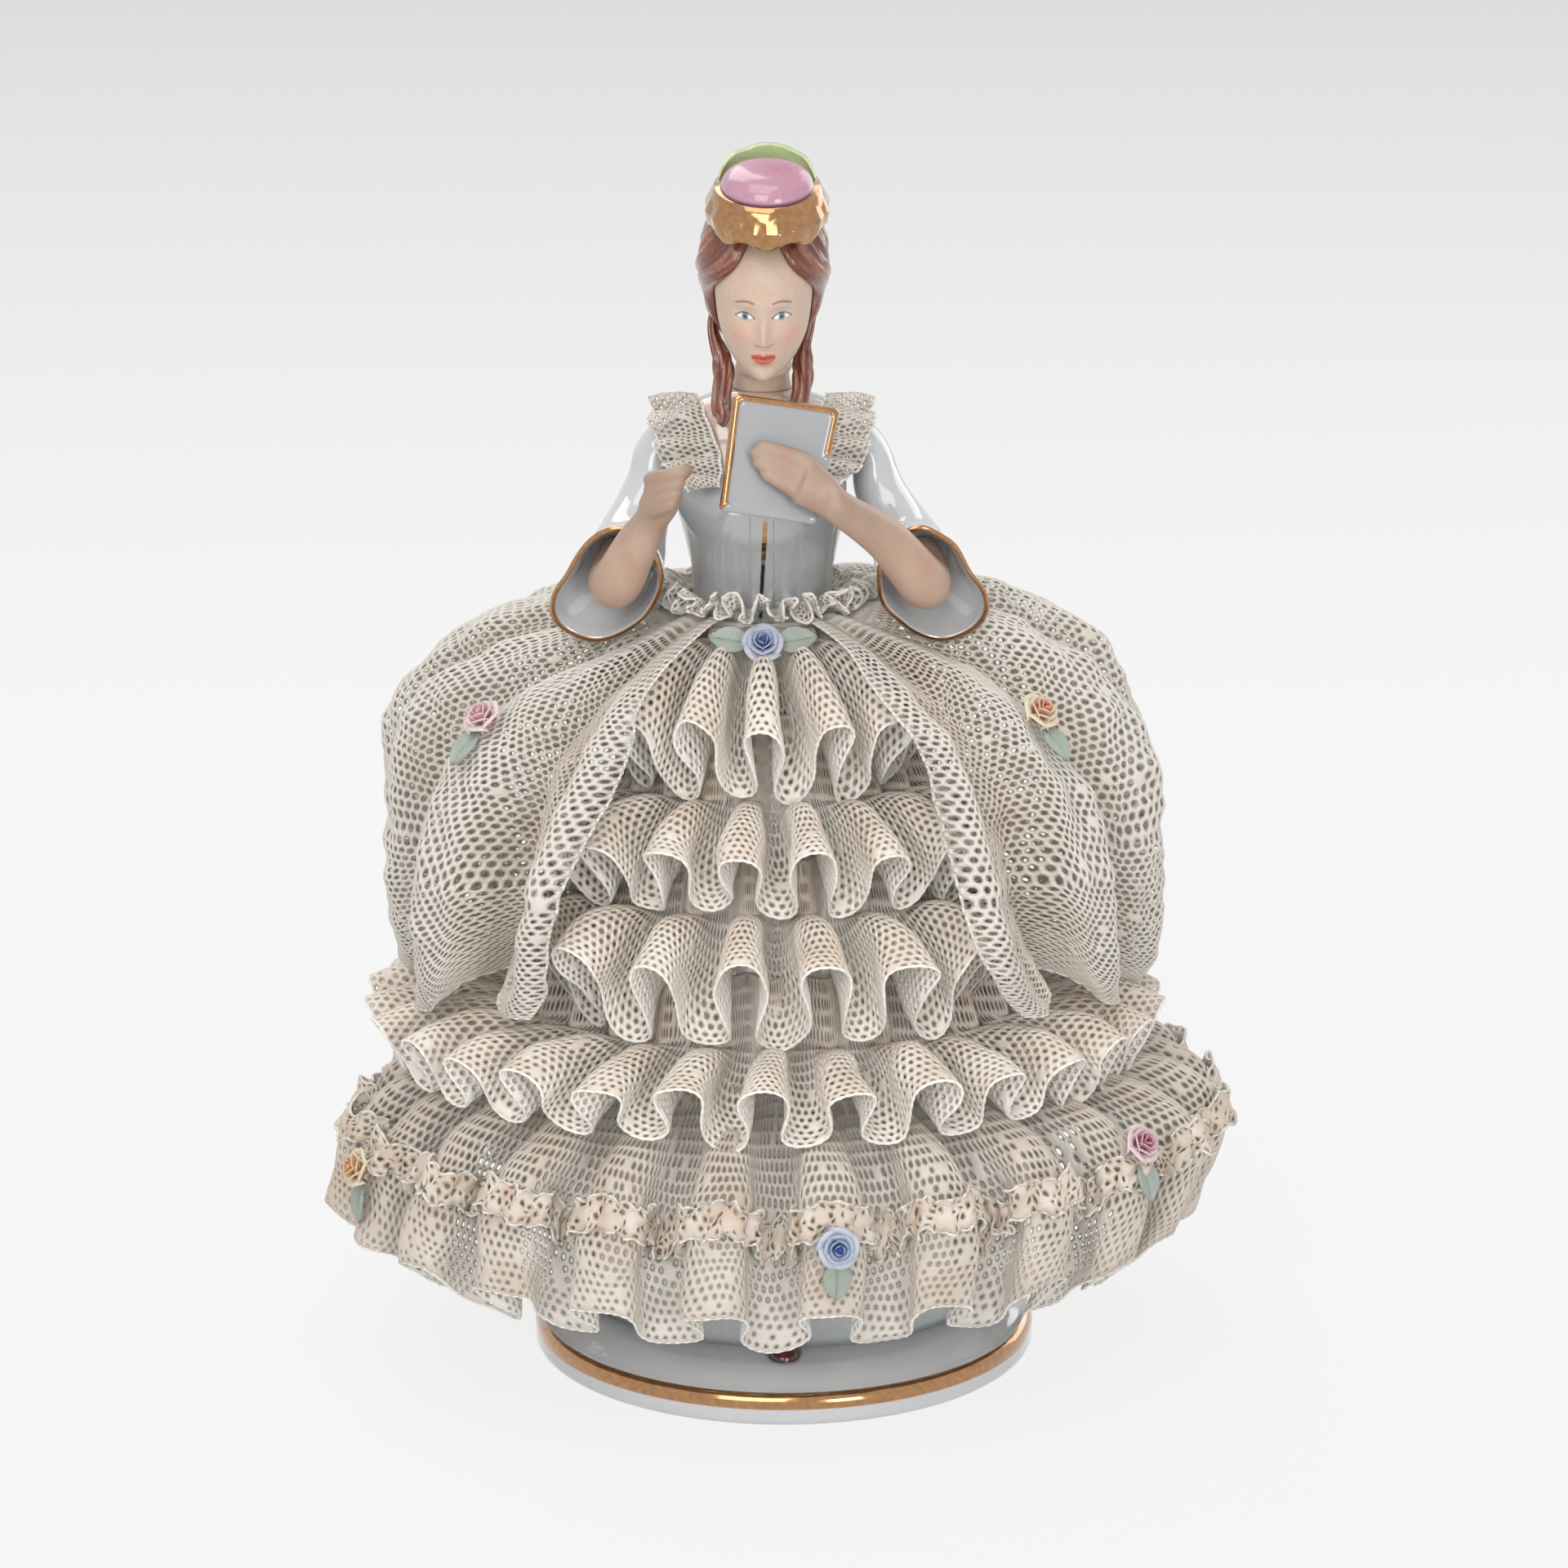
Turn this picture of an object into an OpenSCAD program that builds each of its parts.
// Porcelain lace figurine: a lady who reads a letter, on a round plinth.
// Millimetres, +Z up. The lady faces -Y; left and right are her own, so left is +X.

/* [Base] */
// Outer diameter of the plinth
base_d = 83; // [78:0.5:92]
// Height of the plinth up to the seat of the skirt
base_h = 8; // [7.5:0.5:11]
// Height of the upright edge of the plinth
base_edge_h = 3.6; // [3:0.1:4.5]
// Rounding of the plinth's lower edge
base_round = 1.3; // [1:0.1:2.8]
// Width of the gilt shoulder of the plinth
base_shoulder = 2.2; // [1.5:0.1:3]
// Diameter of the firing vent in the foot
vent_d = 5; // [3:0.5:8]
// Distance of the vent behind the centre
vent_y = 14; // [8:0.5:18]
// Width of the slipper toe
slipper_w = 5.6; // [4:0.1:7]
// Length of the slipper toe in front of the skirt core
slipper_l = 5.6; // [4:0.1:6]

/* [Skirt core] */
// Sideways place of the figure's axis at the waist
figure_x = -3.5; // [-4:0.1:0]
// Depth of the skirt as a share of its width
oval = 0.83; // [0.8:0.01:0.9]
// Height from the seat to the waist
core_h = 116; // [112:1:122]
// Half width at the foot
core_foot_r = 33; // [30:0.5:34]
// Half width at the widest place
core_belly_r = 44; // [42:0.5:45]
// Height of the widest place above the seat
core_belly_h = 32; // [28:0.5:34]
// Half width at the waist
core_waist_r = 12; // [11:0.1:13]
// Wall of the hollow core
core_wall = 3; // [2:0.1:4]

/* [Lace] */
// Thickness of the fired lace
lace_t = 0.8; // [0.6:0.05:1]
// Gap left for slip between lace and what it sits on
slip_gap = 0.05; // [0.02:0.01:0.1]
// Sideways lean of the flute walls, as a share of the pitch
flute_lean = 0.12; // [0.06:0.01:0.13]
// Uneven depth of the flutes, as a share of the depth
flute_play = 0.1; // [0:0.01:0.15]

/* [Flounces] */
// Height of the heading of flounce 1 below the waist
f1_top = 2.5; // [2:0.1:3.5]
// Half angle that flounce 1 covers
f1_half = 56; // [52:1:57]
// Flutes of flounce 1
f1_flutes = 7; // [5:2:7]
// Height of the heading of flounce 2 below the waist
f2_top = 26; // [25.5:0.1:27]
// Half angle that flounce 2 covers
f2_half = 58; // [54:1:59]
// Flutes of flounce 2
f2_flutes = 8; // [7:1:9]
// Height of the heading of flounce 3 below the waist
f3_top = 43; // [42.5:0.1:44]
// Half angle that flounce 3 covers
f3_half = 58; // [54:1:59]
// Flutes of flounce 3
f3_flutes = 8; // [7:1:9]
// Height of the heading of flounce 4 below the waist
f4_top = 63; // [62.5:0.1:64]
// Flutes of flounce 4 all round
f4_flutes = 30; // [26:2:34]
// Height of the heading of flounce 5 below the waist
f5_top = 72; // [70:0.5:76]
// Flutes of flounce 5 all round
f5_flutes = 24; // [21:3:27]
// Inward tuck of the lowest hem on the left
hem_tuck = 4; // [0:0.1:5]
// Thickness of the crumpled hem trim
trim_t = 0.9; // [0.7:0.05:1.1]
// Width of the hem trim as a share of flounce 5
trim_share = 0.2; // [0.14:0.01:0.24]

/* [Overskirt] */
// Half width of the panniers at mid fold
puff_r = 58; // [56:0.5:59]
// Height of the puff above its widest place
puff_up = 35.5; // [35:0.5:36.5]
// Height of the puff below its widest place
puff_down = 25.5; // [24:0.5:26]
// Depth of the folds to each side
puff_fold = 6.5; // [4:0.1:7]
// Drop of the panniers towards the front
puff_sag = 5; // [4:0.1:6]
// Rise of the left pannier over the right one
puff_lift = 3.4; // [0:0.1:5]
// Dent in the panniers under the cuffs
puff_dent = 4.5; // [4:0.1:5]
// Sideways shift of the overskirt where it is widest
puff_shift = 1.2; // [0:0.1:2]
// Opening of the panniers' front edges towards the foot
puff_open = 16; // [14:1:24]
// Outward sweep of the panniers' folds towards the foot, as an angle
puff_sweep = 8; // [4:0.5:10]
// Inward roll of the panniers' front edges
puff_roll = 5; // [4:0.1:6]
// Outward flare of the front edges at the foot
puff_flare = 3; // [2:0.1:4]
// Angle of the panniers' front edge from the front
puff_front = 27; // [25:1:30]
// Angle where panniers and back drape meet
puff_back = 128; // [120:1:135]
// Folds in each pannier and in the back drape
puff_folds = 4; // [3:1:5]

/* [Upper body] */
// Height of the bodice from waist to neck
bodice_h = 36.3; // [35:0.1:38]
// Half distance between the flat armhole faces
armhole_x = 13.4; // [12.8:0.1:13.8]
// Wall of the open cuffs
cuff_wall = 1.1; // [0.9:0.1:1.4]
// Radius of the cut end of the arms, in the cuffs
arm_root_r = 4; // [3.4:0.1:4.4]
// Forward tilt of the head
head_tilt = 16; // [10:1:20]
// Thickness of the hair
hair_t = 2.4; // [2:0.1:2.6]
// Width of the letter
letter_w = 16.8; // [14:0.1:18]
// Height of the letter
letter_h = 18.4; // [16:0.1:19]
// Thickness of the letter
letter_t = 1.6; // [1.2:0.1:2]

/* [Flowers] */
// Diameter of the roses
rose_d = 6.7; // [5:0.1:7.5]
// Length of the leaves
leaf_l = 6; // [4:0.1:7]
// Thickness of the leaves
leaf_t = 0.9; // [0.7:0.1:1.2]

/* [Hidden] */
base_r = base_d / 2;
seat_r = core_foot_r + 2;
waist_z = base_h + core_h;
neck_z = waist_z + bodice_h;
axis_x = figure_x;
strip_5 = f5_flutes / 3;
strip_play = 0.3;
trim_from = 0.6 - trim_share / 2;
trim_to = 0.6 + trim_share / 2;
rows_5 = [0, trim_from, trim_to, 1];
$fn = 72;

// Small helpers: vectors, rings, sheets with thickness and lofts through rings
function unit(v) = v / norm(v);
function mix(a, b, t) = a + (b - a) * t;

// Outward normal of a sheet f(u, v), with u to the left and v downwards on its outside
function normal_of(f, u, v, d = 0.004) =
    unit(cross(f(u, v + d) - f(u, v - d), f(u + d, v) - f(u - d, v)));

// A closed sheet: the solid between two offsets of f along its normal, with v at the given rows
module sheet(nu, rows, f, lo, hi) {
    nv = len(rows) - 1;
    n = (nu + 1) * (nv + 1);
    at = [for (v = rows, i = [0:nu]) f(i / nu, v)];
    nn = [for (v = rows, i = [0:nu]) normal_of(f, i / nu, v, 0.3 / nu)];
    function id(i, j) = j * (nu + 1) + i;
    function strip(a, b) = [[b, a, a + n], [b, a + n, b + n]];
    faces = [
        for (j = [0:nv - 1], i = [0:nu - 1])
            let (a = id(i, j), b = id(i + 1, j), c = id(i + 1, j + 1), d = id(i, j + 1))
            each [[a, b, c], [a, c, d], [a + n, c + n, b + n], [a + n, d + n, c + n]],
        for (i = [0:nu - 1]) each strip(id(i, 0), id(i + 1, 0)),
        for (i = [0:nu - 1]) each strip(id(i + 1, nv), id(i, nv)),
        for (j = [0:nv - 1]) each strip(id(0, j + 1), id(0, j)),
        for (j = [0:nv - 1]) each strip(id(nu, j), id(nu, j + 1))
    ];
    outer = [for (k = [0:n - 1]) at[k] + nn[k] * hi];
    inner = [for (k = [0:n - 1]) at[k] + nn[k] * lo];
    polyhedron(concat(outer, inner), faces);
}
function steps(n) = [for (j = [0:n]) j / n];

// A closed solid through rings of equal point counts, with fans over both ends
module loft(rings) {
    m = len(rings);
    n = len(rings[0]);
    function mid(r) = [for (k = [0:2]) [for (p = r) p[k]] * [for (p = r) 1] / n];
    points = concat([for (r = rings) each r], [mid(rings[0]), mid(rings[m - 1])]);
    faces = [
        for (j = [0:m - 2], i = [0:n - 1])
            let (a = j * n + i, b = j * n + (i + 1) % n)
            each [[a, a + n, b + n], [a, b + n, b]],
        for (i = [0:n - 1]) [i, (i + 1) % n, m * n],
        for (i = [0:n - 1]) [(m - 1) * n + (i + 1) % n, (m - 1) * n + i, m * n + 1]
    ];
    polyhedron(points, faces);
}

// An oval ring across the direction d, with the radius ra to the side and rb upwards
function ring(c, d, ra, rb, n = 18, up = [0, 0.3, 1]) =
    let (w = unit(d), e1 = unit(cross(up, w)), e2 = cross(w, e1))
    [for (i = [0:n - 1]) c + e1 * ra * cos(360 * i / n) + e2 * rb * sin(360 * i / n)];

// Skirt core: half width at the height h above the seat
function core_r(h) =
    let (s = (h - core_belly_h) / (core_h - core_belly_h))
    h < core_belly_h
        ? mix(core_foot_r, core_belly_r, sin(90 * h / core_belly_h))
        : mix(core_waist_r, core_belly_r, (1 - s) * (1 + 0.35 * s));

// A place on the oval skirt, whose axis leans from the plinth's centre to the figure's axis
function lean_x(z) = figure_x * (z - base_h) / core_h;
function skirt_at(phi, r, z) = [lean_x(z) + r * sin(phi), -oval * r * cos(phi), z];

// Flounces: [heading below waist, ridge reach, ridge drop, valley reach, valley drop, swell, shift,
// draw, seed]. Reach and drop run from the heading to the hem; swell rounds the flounce outwards
// on the way, shift moves the hem sideways and draw pulls it in under the panniers.
tier_1 = [f1_top, 27, 8.2, 17.5, 22.9, 0, 0, 5, 20];
tier_2 = [f2_top, 25, 3.5, 15.5, 16, 0, 0, 0, 75];
tier_3 = [f3_top, 25.5, 2.5, 16, 18.6, 0, 0, 8, 140];
tier_4 = [f4_top, 27, 0.5, 21.5, 11.5, 0, -1.6, 0, 215];
tier_5 = [f5_top, 31.8, 25, 20.8, 35.6, 8.7, -1, 0, 300];

// A point of a flounce: s runs along the strip, t from the heading to the hem
function flute(tier, from, to, flutes, s, t) =
    let (
        psi = 360 * flutes * s + 180,
        phi = mix(from, to, s),
        lean = flute_lean * (to - from) / flutes * sin(2 * psi),
        deep = cos(psi) * (1 - flute_play + flute_play * sin(137 * flutes * s + tier[8])),
        top_z = waist_z - tier[0],
        top_r = core_r(top_z - base_h) + slip_gap + lace_t / 2,
        hem_r = top_r + (tier[1] + tier[3]) / 2 + deep * (tier[1] - tier[3]) / 2,
        hem_z = top_z - (tier[2] + tier[4]) / 2 - deep * (tier[2] - tier[4]) / 2,
        draw = tier[7] * max(0, min(1, (abs(phi) - 33) / 15)),
        tuck = draw + (tier[5] > 0 ? hem_tuck * max(0, sin(phi)) * t * t : 0),
        swell = tier[5] * sin(180 * t) * (1 + 0.33 * sin(phi))
    )
    mix(skirt_at(phi, top_r, top_z), skirt_at(phi + lean, hem_r - tuck, hem_z) + [tier[6], 0, 0], t)
        + [swell * sin(phi), -oval * swell * cos(phi), swell * 0.48];

module flounce(tier, from, to, flutes, points = 8, rows = [0, 1]) {
    f = function (u, v) flute(tier, from + strip_play, to - strip_play, flutes, u, v);
    sheet(flutes * points, rows, f, -lace_t / 2, lace_t / 2);
}

// Bodice: half width, half depth and forward shift at the height h above the waist
bodice_wide = [[0, 11.8], [5.5, 11.1], [10, 11.9], [15, 13], [20, 14.6], [29, 15.4], [32, 14.6],
    [34.6, 10.4], [36.3, 5.4]];
bodice_deep = [[0, 9.7], [5.5, 9.2], [10, 10.1], [15, 11.6], [20, 11.5], [25, 9.8], [29, 8], [32, 6.8],
    [34.6, 5.8], [36.3, 5]];
bodice_fore = [[0, 0], [5.5, 0.3], [10, 1], [15, 2], [20, 2], [25, 1], [29, 0], [36.3, 0]];

// Overskirt: profile of a puff, v from the waist to the tucked hem
puff_top_h = 1.2;
puff_z = waist_z + puff_top_h - puff_up;
puff_top_r = lookup(puff_top_h, bodice_wide) + slip_gap + lace_t / 2;
puff_hem_r = puff_r - 6;
puff_rows = [0, 0.18, 0.36, 0.52, 0.76, 1];
function puff(from, to, folds, u, v) =
    let (
        side = from + to == 360 ? 0 : sign(from),
        swept = puff_sweep * side * (v - 0.36),
        phi1 = mix(from, to, u) + (2 * sin(720 * u + from) + swept) * sin(180 * u),
        in = abs(phi1) - puff_front,
        reach = in / (puff_back - puff_front),
        phi0 = phi1 + sign(phi1) * puff_open * pow(max(0, v), 2.6) * max(0, 1 - reach),
        edge = max(0, min(1, (min(abs(phi1), 180) - puff_front - 20) / 25)),
        w = max(0.01, mix(1, 136 + 32 * edge, v)),
        psi = 360 * folds * u,
        low = w > 90,
        r0 = low ? mix(puff_hem_r, puff_r, sin(w)) : mix(puff_top_r, puff_r, pow(sin(w), 0.8)),
        dent = puff_dent * exp(-pow((abs(phi1) - 60) / 20, 2)) * sin(min(4 * w, 90)) * max(0, cos(w)),
        sag = puff_sag * max(0, cos(phi0)) * sin(min(2 * w, 90)) + dent,
        z0 = low ? puff_z - puff_down * pow(-cos(w), 0.9) : puff_z + puff_up * pow(cos(w), 0.8),
        soft = min(1, 0.25 + in / 20) * (1 + 0.25 * sin(500 * reach + 60 + 40 * side)),
        deep = puff_fold * pow(sin(w * 0.72), 0.8) * soft * (cos(psi) - 0.1 * (cos(2 * psi) - 1)),
        roll = puff_roll * pow(max(0, 1 - in / 12), 2) * sin(min(w, 90)),
        flare = puff_flare * max(0, 1 - in / 15) * max(0, min(1, (w - 85) / 30)),
        r = r0 + deep * sin(min(w, 110)) - roll + flare,
        lift = puff_lift * max(0, sin(phi0)) * max(0, cos(w)) * sin(min(3 * w, 90)),
        z = z0 - sag + lift + deep * cos(min(w, 120)) * 0.9,
        phi = phi0 + 0.05 * (to - from) / folds * sin(2 * psi) * sin(w)
    )
    skirt_at(phi, r, z) + [puff_shift * sin(min(w, 90)), 0, 0];

module puff_sheet(from, to, folds) {
    f = function (u, v) puff(from + strip_play, to - strip_play, folds, u, v);
    sheet(folds * 6, puff_rows, f, -lace_t / 2, lace_t / 2);
}

// One ring of the bodice, cut flat at the armholes
function bodice_ring(h, n = 28) =
    let (
        k = h * 36.3 / bodice_h,
        a = lookup(k, bodice_wide),
        b = lookup(k, bodice_deep),
        f = lookup(k, bodice_fore)
    )
    [for (i = [0:n - 1])
        let (c = 360 * i / n)
        [axis_x + max(-armhole_x, min(armhole_x, a * cos(c))), b * sin(c) - f, waist_z + h]];

// Places on one arm, outwards from the torso's axis and above the waist; side is 1 on the left
function arm_at(side, p) = [axis_x + side * p[0], p[1], waist_z + p[2]];
function arm_dir(side, d) = [side * d[0], d[1], d[2]];

// Cup-shaped sleeve: rings from the armhole out to the cuff's rim and back inside to the cuff's floor
cuff_floor = [22, -8.6, 11.2];
cuff_floor_dir = [0.14, -0.84, -0.52];
module sleeve(side, spread) {
    function r(p, d, a, b) =
        ring(arm_at(side, [p[0] + spread * p[3], p[1], p[2]]), arm_dir(side, d), a, b, 20, [0, 1, 0]);
    s = armhole_x + slip_gap;
    rim = [23.8, -15, 7.6, 1];
    rim_d = [0.08, -0.93, -0.36];
    bell = [22.6, -11.4, 9.3, 1];
    bell_d = [0.1, -0.89, -0.45];
    loft([
        r([s, 0.3, 29, 0], [1, 0, 0], 3.8, 5),
        r([s + 3.5, 0, 26, 0.1], [0.25, -0.1, -0.96], 3.3, 5.2),
        r([17.8, -1.8, 20.8, 0.3], [0.3, -0.35, -0.88], 4, 5.3),
        r([19.6, -4.6, 16, 0.6], [0.3, -0.56, -0.77], 4.8, 5.8),
        r([21.2, -8, 12, 0.9], [0.18, -0.78, -0.6], 6, 7),
        r(bell, bell_d, 7.2, 8.6),
        r(rim, rim_d, 8.6, 10.2),
        r(rim, rim_d, 8.6 - cuff_wall, 10.2 - cuff_wall),
        r(bell, bell_d, 7.2 - cuff_wall, 8.6 - cuff_wall),
        r([cuff_floor[0], cuff_floor[1], cuff_floor[2], 1], cuff_floor_dir, 4.8, 5.4)
    ]);
}

// Letter frame: centre, sideways, upwards and towards the viewer
letter_at = [axis_x + 2.8, -29, waist_z + 30.4];
letter_u = unit([16.4, 2, -2.8]);
letter_n = unit(cross(letter_u, [2.2, 6, 17.4]));
letter_v = cross(letter_n, letter_u);
function on_letter(a, b, d) = letter_at + letter_u * a + letter_v * b + letter_n * d;

// Head: rings from the neck to the crown, along an axis that leans forwards
head_up = [0, -sin(head_tilt), cos(head_tilt)];
head_fore = [0, -cos(head_tilt), -sin(head_tilt)];
head_at = [axis_x + 0.3, -6.6, neck_z + 16];
function head_ring(c, up, w, f, b, n = 24) =
    let (fore = cross([1, 0, 0], up))
    [for (i = [0:n - 1])
        let (k = 360 * i / n)
        c + [w * cos(k), 0, 0] - fore * sin(k) * (sin(k) < 0 ? f : b)];
function skull_ring(h, w, f, b) = head_ring(head_at + head_up * h, head_up, w, f, b);

// Hair: a sheet round the back of the skull, u across and v downwards
function hair_sheet(u, v) =
    let (
        a = mix(-140, 140, u),
        e = mix(78, -14 - 26 * max(0, cos(a)), v),
        k = 1 + slip_gap,
        girth = pow(cos(e), 0.75),
        side = mix(8.5, 7.2, pow(v, 4)) * girth * sin(a),
        back = 11 * girth * cos(a),
        up = 12.9 * sin(e)
    )
    head_at + head_up * (up + 0.6) - head_fore * back * k - [side * k, 0, 0];

// Flowers: a rose stands on its flat foot along +Z
module rose_body() {
    k = rose_d / 6.7;
    rotate_extrude() scale(k) polygon([
        [0, 0], [1.2, 0], [2.5, 1], [3.35, 2.7], [3.1, 3], [2.5, 1.9], [2.1, 3.4],
        [1.6, 2.4], [1.15, 3.9], [0.7, 3.9], [0.4, 3.1], [0, 3.1]
    ]);
}
module leaf_body() {
    linear_extrude(leaf_t) polygon([
        for (i = [0:7]) [leaf_l * 0.36 * sin(180 * i / 8), leaf_l * i / 8],
        for (i = [8:-1:1]) [-leaf_l * 0.36 * sin(180 * i / 8), leaf_l * i / 8]
    ]);
}
// Puts children on a point p with +Z along the normal n and +Y along d
module stand(p, n, d = [0, 0, 1]) {
    w = unit(n);
    x = unit(cross(d, w));
    y = cross(w, x);
    multmatrix([[x[0], y[0], w[0], p[0]], [x[1], y[1], w[1], p[1]], [x[2], y[2], w[2], p[2]]]) children();
}

// Rose places: on a corner of the lace below, i and j count its points
function puff_spot(from, to, i, j) =
    let (f = function (u, v) puff(from + strip_play, to - strip_play, puff_folds, u, v))
    let (u = i / puff_folds / 6, v = puff_rows[j])
    [f(u, v), normal_of(f, u, v)];
function flute_spot(tier, from, to, flutes, k, t) =
    let (f = function (u, v) flute(tier, from + strip_play, to - strip_play, flutes, u, v))
    let (u = (k + 0.5) / flutes)
    [f(u, t), normal_of(f, u, t)];
module rose_on(spot, lift) {
    stand(spot[0] + spot[1] * (lift + slip_gap), spot[1]) rose_body();
}
module leaf_on(spot, lift, turn) {
    down = cross(spot[1], cross([0, 0, -1], spot[1]));
    stand(spot[0] + spot[1] * (lift + slip_gap), spot[1], down)
        rotate([0, 0, turn]) translate([0, rose_d * 0.4, 0]) leaf_body();
}
waist_foot = flute_spot(tier_1, -f1_half, f1_half, f1_flutes, floor(f1_flutes / 2), 0.2);
waist_lean = unit([0, -0.8, 0.6]);
spot_waist = [waist_foot[0] + waist_foot[1] * (lace_t / 2 + 0.12 * rose_d), waist_lean];

// Sub-parts
module base() {
    color("#e9ecef") difference() {
        rotate_extrude() polygon(concat(
            [[0, 0], [base_r - base_round, 0]],
            [for (i = [1:5]) [base_r - base_round * (1 - sin(18 * i)), base_round * (1 - cos(18 * i))]],
            [[base_r, base_edge_h]],
            [for (i = [20:20:80]) [base_r, base_edge_h] + base_shoulder * [cos(i) - 1, sin(i)]],
            [[seat_r, base_h], [0, base_h]]
        ));
        translate([0, vent_y, -1]) cylinder(d = vent_d, h = base_h + 2);
    }
}

module slipper_toe() {
    w = slipper_w / 2;
    back = -oval * core_r(w) - slip_gap;
    color("#5a1f26") intersection() {
        translate([0, back, base_h]) rotate([90, 0, 0]) rotate_extrude() polygon(concat(
            [[0, 0], [w, 0]],
            [for (i = [1:6]) [w * cos(15 * i), slipper_l * (0.45 + 0.55 * sin(15 * i))]]
        ));
        translate([-w, back - slipper_l, base_h + slip_gap]) cube([2 * w, slipper_l, w]);
    }
}

module skirt_core() {
    n = 14;
    function core_ring(h, inset) =
        [for (i = [0:47]) skirt_at(7.5 * i, core_r(h) - inset, base_h + h)];
    color("#dfe3e6") loft(concat(
        [core_ring(core_h - core_wall, core_wall)],
        [for (i = [n - 1:-1:0]) core_ring(core_h * i / n, core_wall)],
        [for (i = [0:n]) core_ring(core_h * i / n, 0)]
    ));
}

module flounce_1() {
    color("#ded8cc") flounce(tier_1, -f1_half, f1_half, f1_flutes);
}
module flounce_2() {
    color("#ded8cc") flounce(tier_2, -f2_half + 2, f2_half + 2, f2_flutes);
}
module flounce_3() {
    color("#ded8cc") flounce(tier_3, -f3_half + 2, f3_half + 2, f3_flutes);
}
module flounce_4_front() {
    color("#ded8cc") flounce(tier_4, -90, 90, f4_flutes / 2, 6);
}
module flounce_4_back() {
    color("#ded8cc") flounce(tier_4, 90, 270, f4_flutes / 2, 6);
}
module flounce_5_front() {
    color("#ded8cc") flounce(tier_5, -60, 60, strip_5, 6, rows_5);
}
module flounce_5_left() {
    color("#ded8cc") flounce(tier_5, 60, 180, strip_5, 6, rows_5);
}
module flounce_5_right() {
    color("#ded8cc") flounce(tier_5, 180, 300, strip_5, 6, rows_5);
}

module trim(from, to) {
    lo = lace_t / 2 + slip_gap;
    f = function (u, v) flute(tier_5, from + strip_play, to - strip_play, strip_5, u, v);
    color("#cfc2ad") sheet(strip_5 * 6, [trim_from, trim_to], f, lo, lo + trim_t);
}
module hem_trim_front() {
    trim(-60, 60);
}
module hem_trim_left() {
    trim(60, 180);
}
module hem_trim_right() {
    trim(180, 300);
}

module pannier_left() {
    color("#ded8cc") puff_sheet(puff_front, puff_back, puff_folds);
}
module pannier_right() {
    color("#ded8cc") puff_sheet(-puff_back, -puff_front, puff_folds);
}
module back_drape() {
    color("#ded8cc") puff_sheet(puff_back, 360 - puff_back, puff_folds);
}

module waist_frill() {
    flutes = 11;
    h = 2.8;
    f = function (u, v)
        let (psi = 360 * flutes * u, r = lookup(h, bodice_wide) + slip_gap + lace_t + v * 4.6)
        skirt_at(mix(-178, 178, u), r, waist_z + h + v * (1.2 + 1.4 * cos(psi)));
    color("#ded8cc") sheet(flutes * 4, [0, 1], f, -lace_t / 2, lace_t / 2);
}

module bodice() {
    levels = [0, 5.5, 10, 15, 20, 25, 29, 32, 34.6, 36.3];
    color("#dde2e6") loft([for (h = levels) bodice_ring(h * bodice_h / 36.3)]);
}

// Collars: a frill from the shoulder to the breast, u along it and v away from the neck
function bodice_at(side, c, h) = [
    axis_x + side * lookup(h, bodice_wide) * cos(c),
    -lookup(h, bodice_deep) * sin(c) - lookup(h, bodice_fore),
    waist_z + h * bodice_h / 36.3
];
module collar(side) {
    f = function (u, v)
        let (
            out = unit(mix([side * 0.95, 0.05, 0.25], [side * 0.5, -0.8, 0.25], u)),
            wave = [0, -0.5, 0.9] * 1.1 * cos(360 * 4 * u)
        )
        bodice_at(side, mix(20, 68, u), mix(34.6, 23, u)) + out * (0.7 + 6 * v) + wave * v;
    g = function (u, v) f(side > 0 ? 1 - u : u, 1 - v);
    color("#ded8cc") sheet(24, [0, 1], g, -lace_t / 2, lace_t / 2);
}
module collar_left() {
    collar(1);
}
module collar_right() {
    collar(-1);
}

module head() {
    color("#e6c9b4") loft([
        head_ring([axis_x, 0, neck_z + slip_gap], [0, 0, 1], 4.5, 4.6, 4.5),
        head_ring([axis_x, -1.2, neck_z + 2.6], [0, -0.12, 0.99], 4.1, 4.1, 4.2),
        head_ring(head_at + [0, 4.2, -11.8], head_up, 4.3, 5.6, 4.4),
        skull_ring(-10.6, 3.7, 9.3, 5),
        skull_ring(-9, 5.1, 10.3, 6.4),
        skull_ring(-6.4, 6.2, 10.1, 8.2),
        skull_ring(-3.6, 6.8, 10.3, 9.6),
        skull_ring(0, 7.2, 9.8, 10.4),
        skull_ring(3.4, 7.4, 9.9, 10.5),
        skull_ring(6.6, 7.1, 9.2, 9.8),
        skull_ring(9.4, 5.8, 7.4, 7.8),
        skull_ring(11.4, 3.6, 4.8, 5),
        skull_ring(12.3, 1.5, 2, 2)
    ]);
}

module hair() {
    color("#8d5a44") sheet(26, steps(10), function (u, v) hair_sheet(u, v), 0, hair_t);
}

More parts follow.
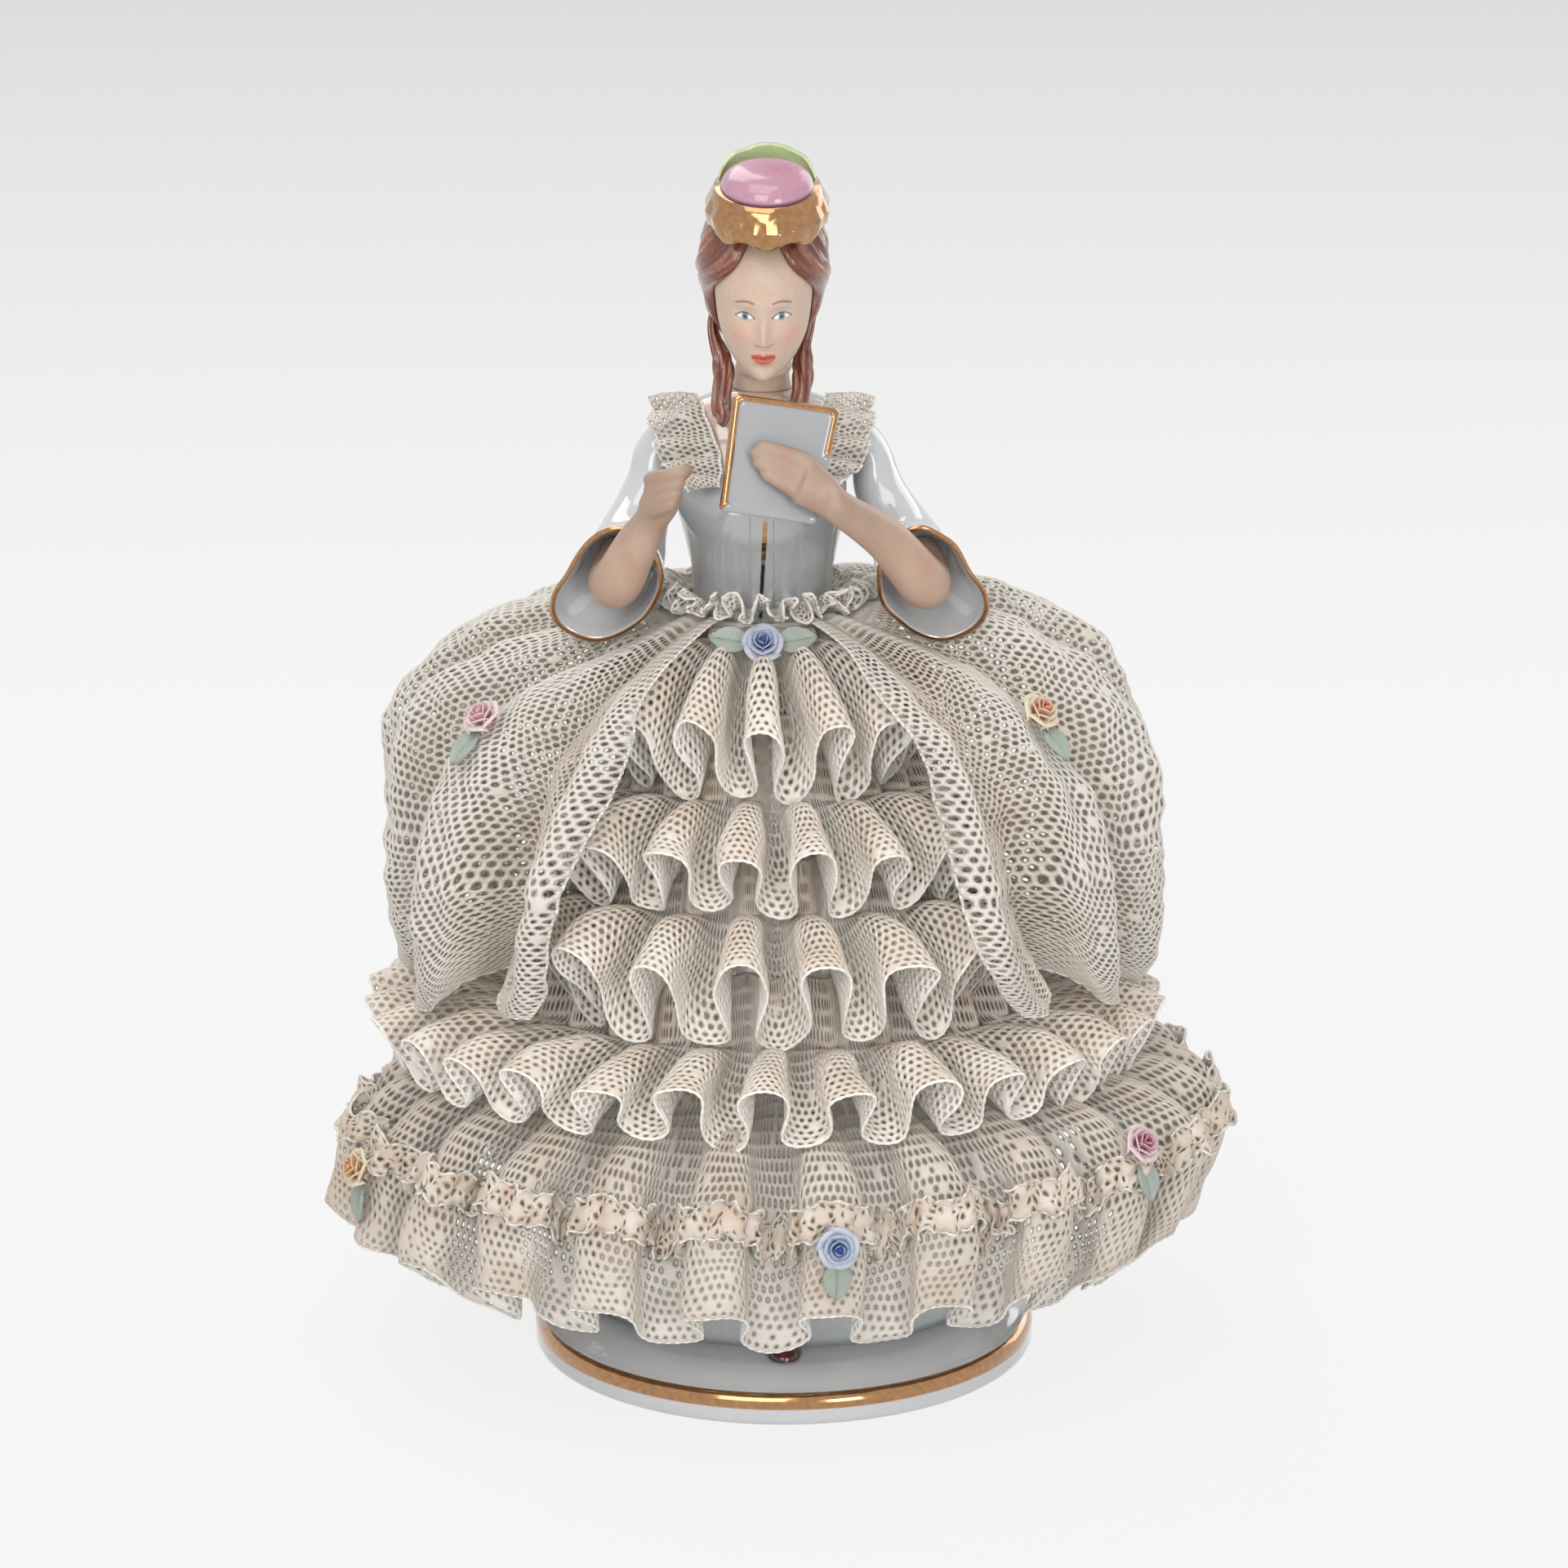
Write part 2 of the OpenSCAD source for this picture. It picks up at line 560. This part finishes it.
// Ringlets: a lock that leaves the lower edge of the hair and curls down to the breast
module ringlet(side) {
    n = 16;
    u = side > 0 ? 0.16 : 0.84;
    away = unit(hair_sheet(u, 1) - hair_sheet(u, 0.97));
    top = hair_sheet(u, 1) + normal_of(function (a, b) hair_sheet(a, b), u, 1) * hair_t / 2 + away * 0.5;
    low = arm_at(side, [7, -11.6, 34.2]);
    knee = top + [side * 0.5, -0.5, -9];
    color("#8d5a44") loft([for (j = [n:-1:0])
        let (
            t = j / n,
            curl = [cos(540 * t), sin(540 * t), 0] * 0.7 * sin(180 * t),
            c = mix(mix(top, knee, t), mix(knee, low, t), t) + curl,
            d = mix(knee - top, low - knee, t),
            r = 1 + 0.85 * sin(180 * t)
        )
        ring(c, -d, r, r, 10, [0, 1, 0])]);
}
module ringlet_left() {
    ringlet(1);
}
module ringlet_right() {
    ringlet(-1);
}

// Hat: a scalloped diadem, a flat crown on it and a leaf behind the crown
hat_at = head_at + head_up * 13 + head_fore * 1.4 + [0.6, 0, 0];
module hat_diadem() {
    n = 40;
    function row(h, a, b, wave) = [for (i = [0:n - 1])
        let (k = 360 * i / n)
        hat_at + [a * cos(k), 0, 0] - head_fore * b * sin(k)
            + head_up * (h - wave * (0.5 + 0.5 * cos(8 * k)))];
    color("#c08a2e") loft([
        row(3.2, 8.6, 9.9, 0),
        row(0.1, 9.4, 11.2, 0.9),
        row(0.2, 10.2, 12, 0.9),
        row(3.4, 9.8, 11.2, 0),
        row(6.4, 8.4, 8.9, 0)
    ]);
}
module hat_crown() {
    n = 28;
    c = hat_at + head_up * (6.4 + slip_gap) + head_fore * 1;
    function row(h, k) = head_ring(c + head_up * h, head_up, 6.9 * k, 6.6 * k, 6.2 * k, n);
    color("#d9a3bd") loft([row(0, 1), row(1.4, 0.98), row(2.6, 0.86), row(3.3, 0.6), row(3.6, 0.25)]);
}
module hat_leaf() {
    n = 16;
    f = function (u, v)
        let (a = mix(-80, 80, u), r = 7 + slip_gap + lace_t)
        hat_at + head_up * (6.5 + v * (3.2 * cos(a) + 1)) + [r * sin(a), 0, 0]
            + head_fore * (1 - r * 0.9 * cos(a) - v * 0.4);
    color("#b3cf86") sheet(n, [0, 1], function (u, v) f(u, 1 - v), -lace_t / 2, lace_t / 2);
}

module sleeve_left() {
    color("#dde2e6") sleeve(1, 2.4);
}
module sleeve_right() {
    color("#dde2e6") sleeve(-1, 0);
}

module arm_left() {
    function at(p) = arm_at(1, [p[0] + 2.4, p[1], p[2]]);
    root = unit(arm_dir(1, cuff_floor_dir));
    r = 2.3;
    d = letter_t / 2 + slip_gap + r;
    color("#e6c9b4") loft([
        ring(at(cuff_floor) + root * slip_gap, root, arm_root_r, arm_root_r),
        ring(at([23.4, -14.4, 8.2]), [0, -0.98, 0.05], 4, 4.2),
        ring(at([22.4, -19.6, 9.6]), [-0.45, -0.7, 0.55], 4, 4.1),
        ring(at([16.8, -24.8, 17]), [-0.7, -0.5, 0.5], 3.5, 3.6),
        ring(on_letter(9.5, -6.6, d + 0.6), [-0.75, -0.35, 0.5], 2.5, 2.9),
        ring(on_letter(6.6, -4.6, d), letter_v * 0.35 - letter_u, r, 3.5, 18, letter_v),
        ring(on_letter(3, -3, d), letter_v * 0.3 - letter_u, r, 4, 18, letter_v),
        ring(on_letter(-1.6, -1.2, d), letter_v * 0.3 - letter_u, r, 3.4, 18, letter_v),
        ring(on_letter(-3.8, -0.2, d), letter_v * 0.3 - letter_u, r * 0.6, 2, 18, letter_v)
    ]);
}
module arm_right() {
    function at(p) = arm_at(-1, p);
    root = unit(arm_dir(-1, cuff_floor_dir));
    color("#e6c9b4") loft([
        ring(at(cuff_floor) + root * slip_gap, root, arm_root_r, arm_root_r),
        ring(at([23.4, -14.4, 8.2]), [0, -0.98, 0.05], 4, 4.2),
        ring(at([22.2, -19.6, 9.8]), [0.4, -0.7, 0.58], 4, 4.1),
        ring(at([19.4, -23.4, 15.8]), [0.4, -0.55, 0.7], 3.5, 3.5),
        ring(at([17.2, -25.4, 20]), [0.38, -0.55, 0.7], 2.7, 2.9),
        ring(at([15.8, -27.2, 23]), [0.45, -0.45, 0.75], 3.6, 3),
        ring(at([13.8, -28.6, 26.4]), [0.6, -0.35, 0.7], 3.6, 3),
        ring(at([11.8, -29.6, 28.8]), [0.7, -0.2, 0.65], 2.2, 2),
        ring(at([10.4, -30, 30.2]), [0.7, -0.2, 0.65], 1.1, 1)
    ]);
}

module letter() {
    c = 0.6;
    w = letter_w / 2;
    h = letter_h / 2;
    back = letter_at - letter_n * letter_t / 2;
    color("#dde2e6") stand(back, letter_n, letter_v) linear_extrude(letter_t) polygon([
        [-w + c, -h], [w - 2, -h], [w - 1.4, -h + c], [w, h - c],
        [w - c, h], [-w + c, h], [-w, h - c], [-w, -h + c]
    ]);
}

module rose_waist() {
    color("#8f9fc0") rose_on(spot_waist, 0);
}
module leaf_waist_left() {
    color("#a9b3a2") leaf_on(spot_waist, 0, 102);
}
module leaf_waist_right() {
    color("#a9b3a2") leaf_on(spot_waist, 0, -102);
}
spot_pannier_left = puff_spot(puff_front, puff_back, 6, 2);
spot_pannier_right = puff_spot(-puff_back, -puff_front, 6 * puff_folds - 6, 2);
spot_hem_front = flute_spot(tier_5, -60, 60, strip_5, 4, trim_to);
spot_hem_left = flute_spot(tier_5, -60, 60, strip_5, 7, trim_from);
spot_hem_right = flute_spot(tier_5, 180, 300, strip_5, strip_5 - 1, trim_to);
module rose_pannier_left() {
    color("#e0c489") rose_on(spot_pannier_left, lace_t / 2);
}
module leaf_pannier_left() {
    color("#a9b3a2") leaf_on(spot_pannier_left, lace_t / 2, 0);
}
module rose_pannier_right() {
    color("#dfb3b8") rose_on(spot_pannier_right, lace_t / 2);
}
module leaf_pannier_right() {
    color("#a9b3a2") leaf_on(spot_pannier_right, lace_t / 2, 0);
}
module rose_hem_front() {
    color("#8f9fc0") rose_on(spot_hem_front, lace_t / 2 + trim_t + slip_gap);
}
module leaf_hem_front() {
    color("#a9b3a2") leaf_on(spot_hem_front, lace_t / 2 + trim_t + slip_gap, 0);
}
module rose_hem_left() {
    color("#c98aa0") rose_on(spot_hem_left, lace_t / 2 + trim_t + slip_gap);
}
module leaf_hem_left() {
    color("#a9b3a2") leaf_on(spot_hem_left, lace_t / 2 + trim_t + slip_gap, 0);
}
module rose_hem_right() {
    color("#e0b070") rose_on(spot_hem_right, lace_t / 2 + trim_t + slip_gap);
}
module leaf_hem_right() {
    color("#a9b3a2") leaf_on(spot_hem_right, lace_t / 2 + trim_t + slip_gap, 0);
}

base();
slipper_toe();
skirt_core();
flounce_1();
flounce_2();
flounce_3();
flounce_4_front();
flounce_4_back();
flounce_5_front();
flounce_5_left();
flounce_5_right();
hem_trim_front();
hem_trim_left();
hem_trim_right();
pannier_left();
pannier_right();
back_drape();
waist_frill();
bodice();
collar_left();
collar_right();
head();
hair();
ringlet_left();
ringlet_right();
hat_diadem();
hat_crown();
hat_leaf();
sleeve_left();
sleeve_right();
arm_left();
arm_right();
letter();
rose_waist();
leaf_waist_left();
leaf_waist_right();
rose_pannier_left();
leaf_pannier_left();
rose_pannier_right();
leaf_pannier_right();
rose_hem_front();
leaf_hem_front();
rose_hem_left();
leaf_hem_left();
rose_hem_right();
leaf_hem_right();
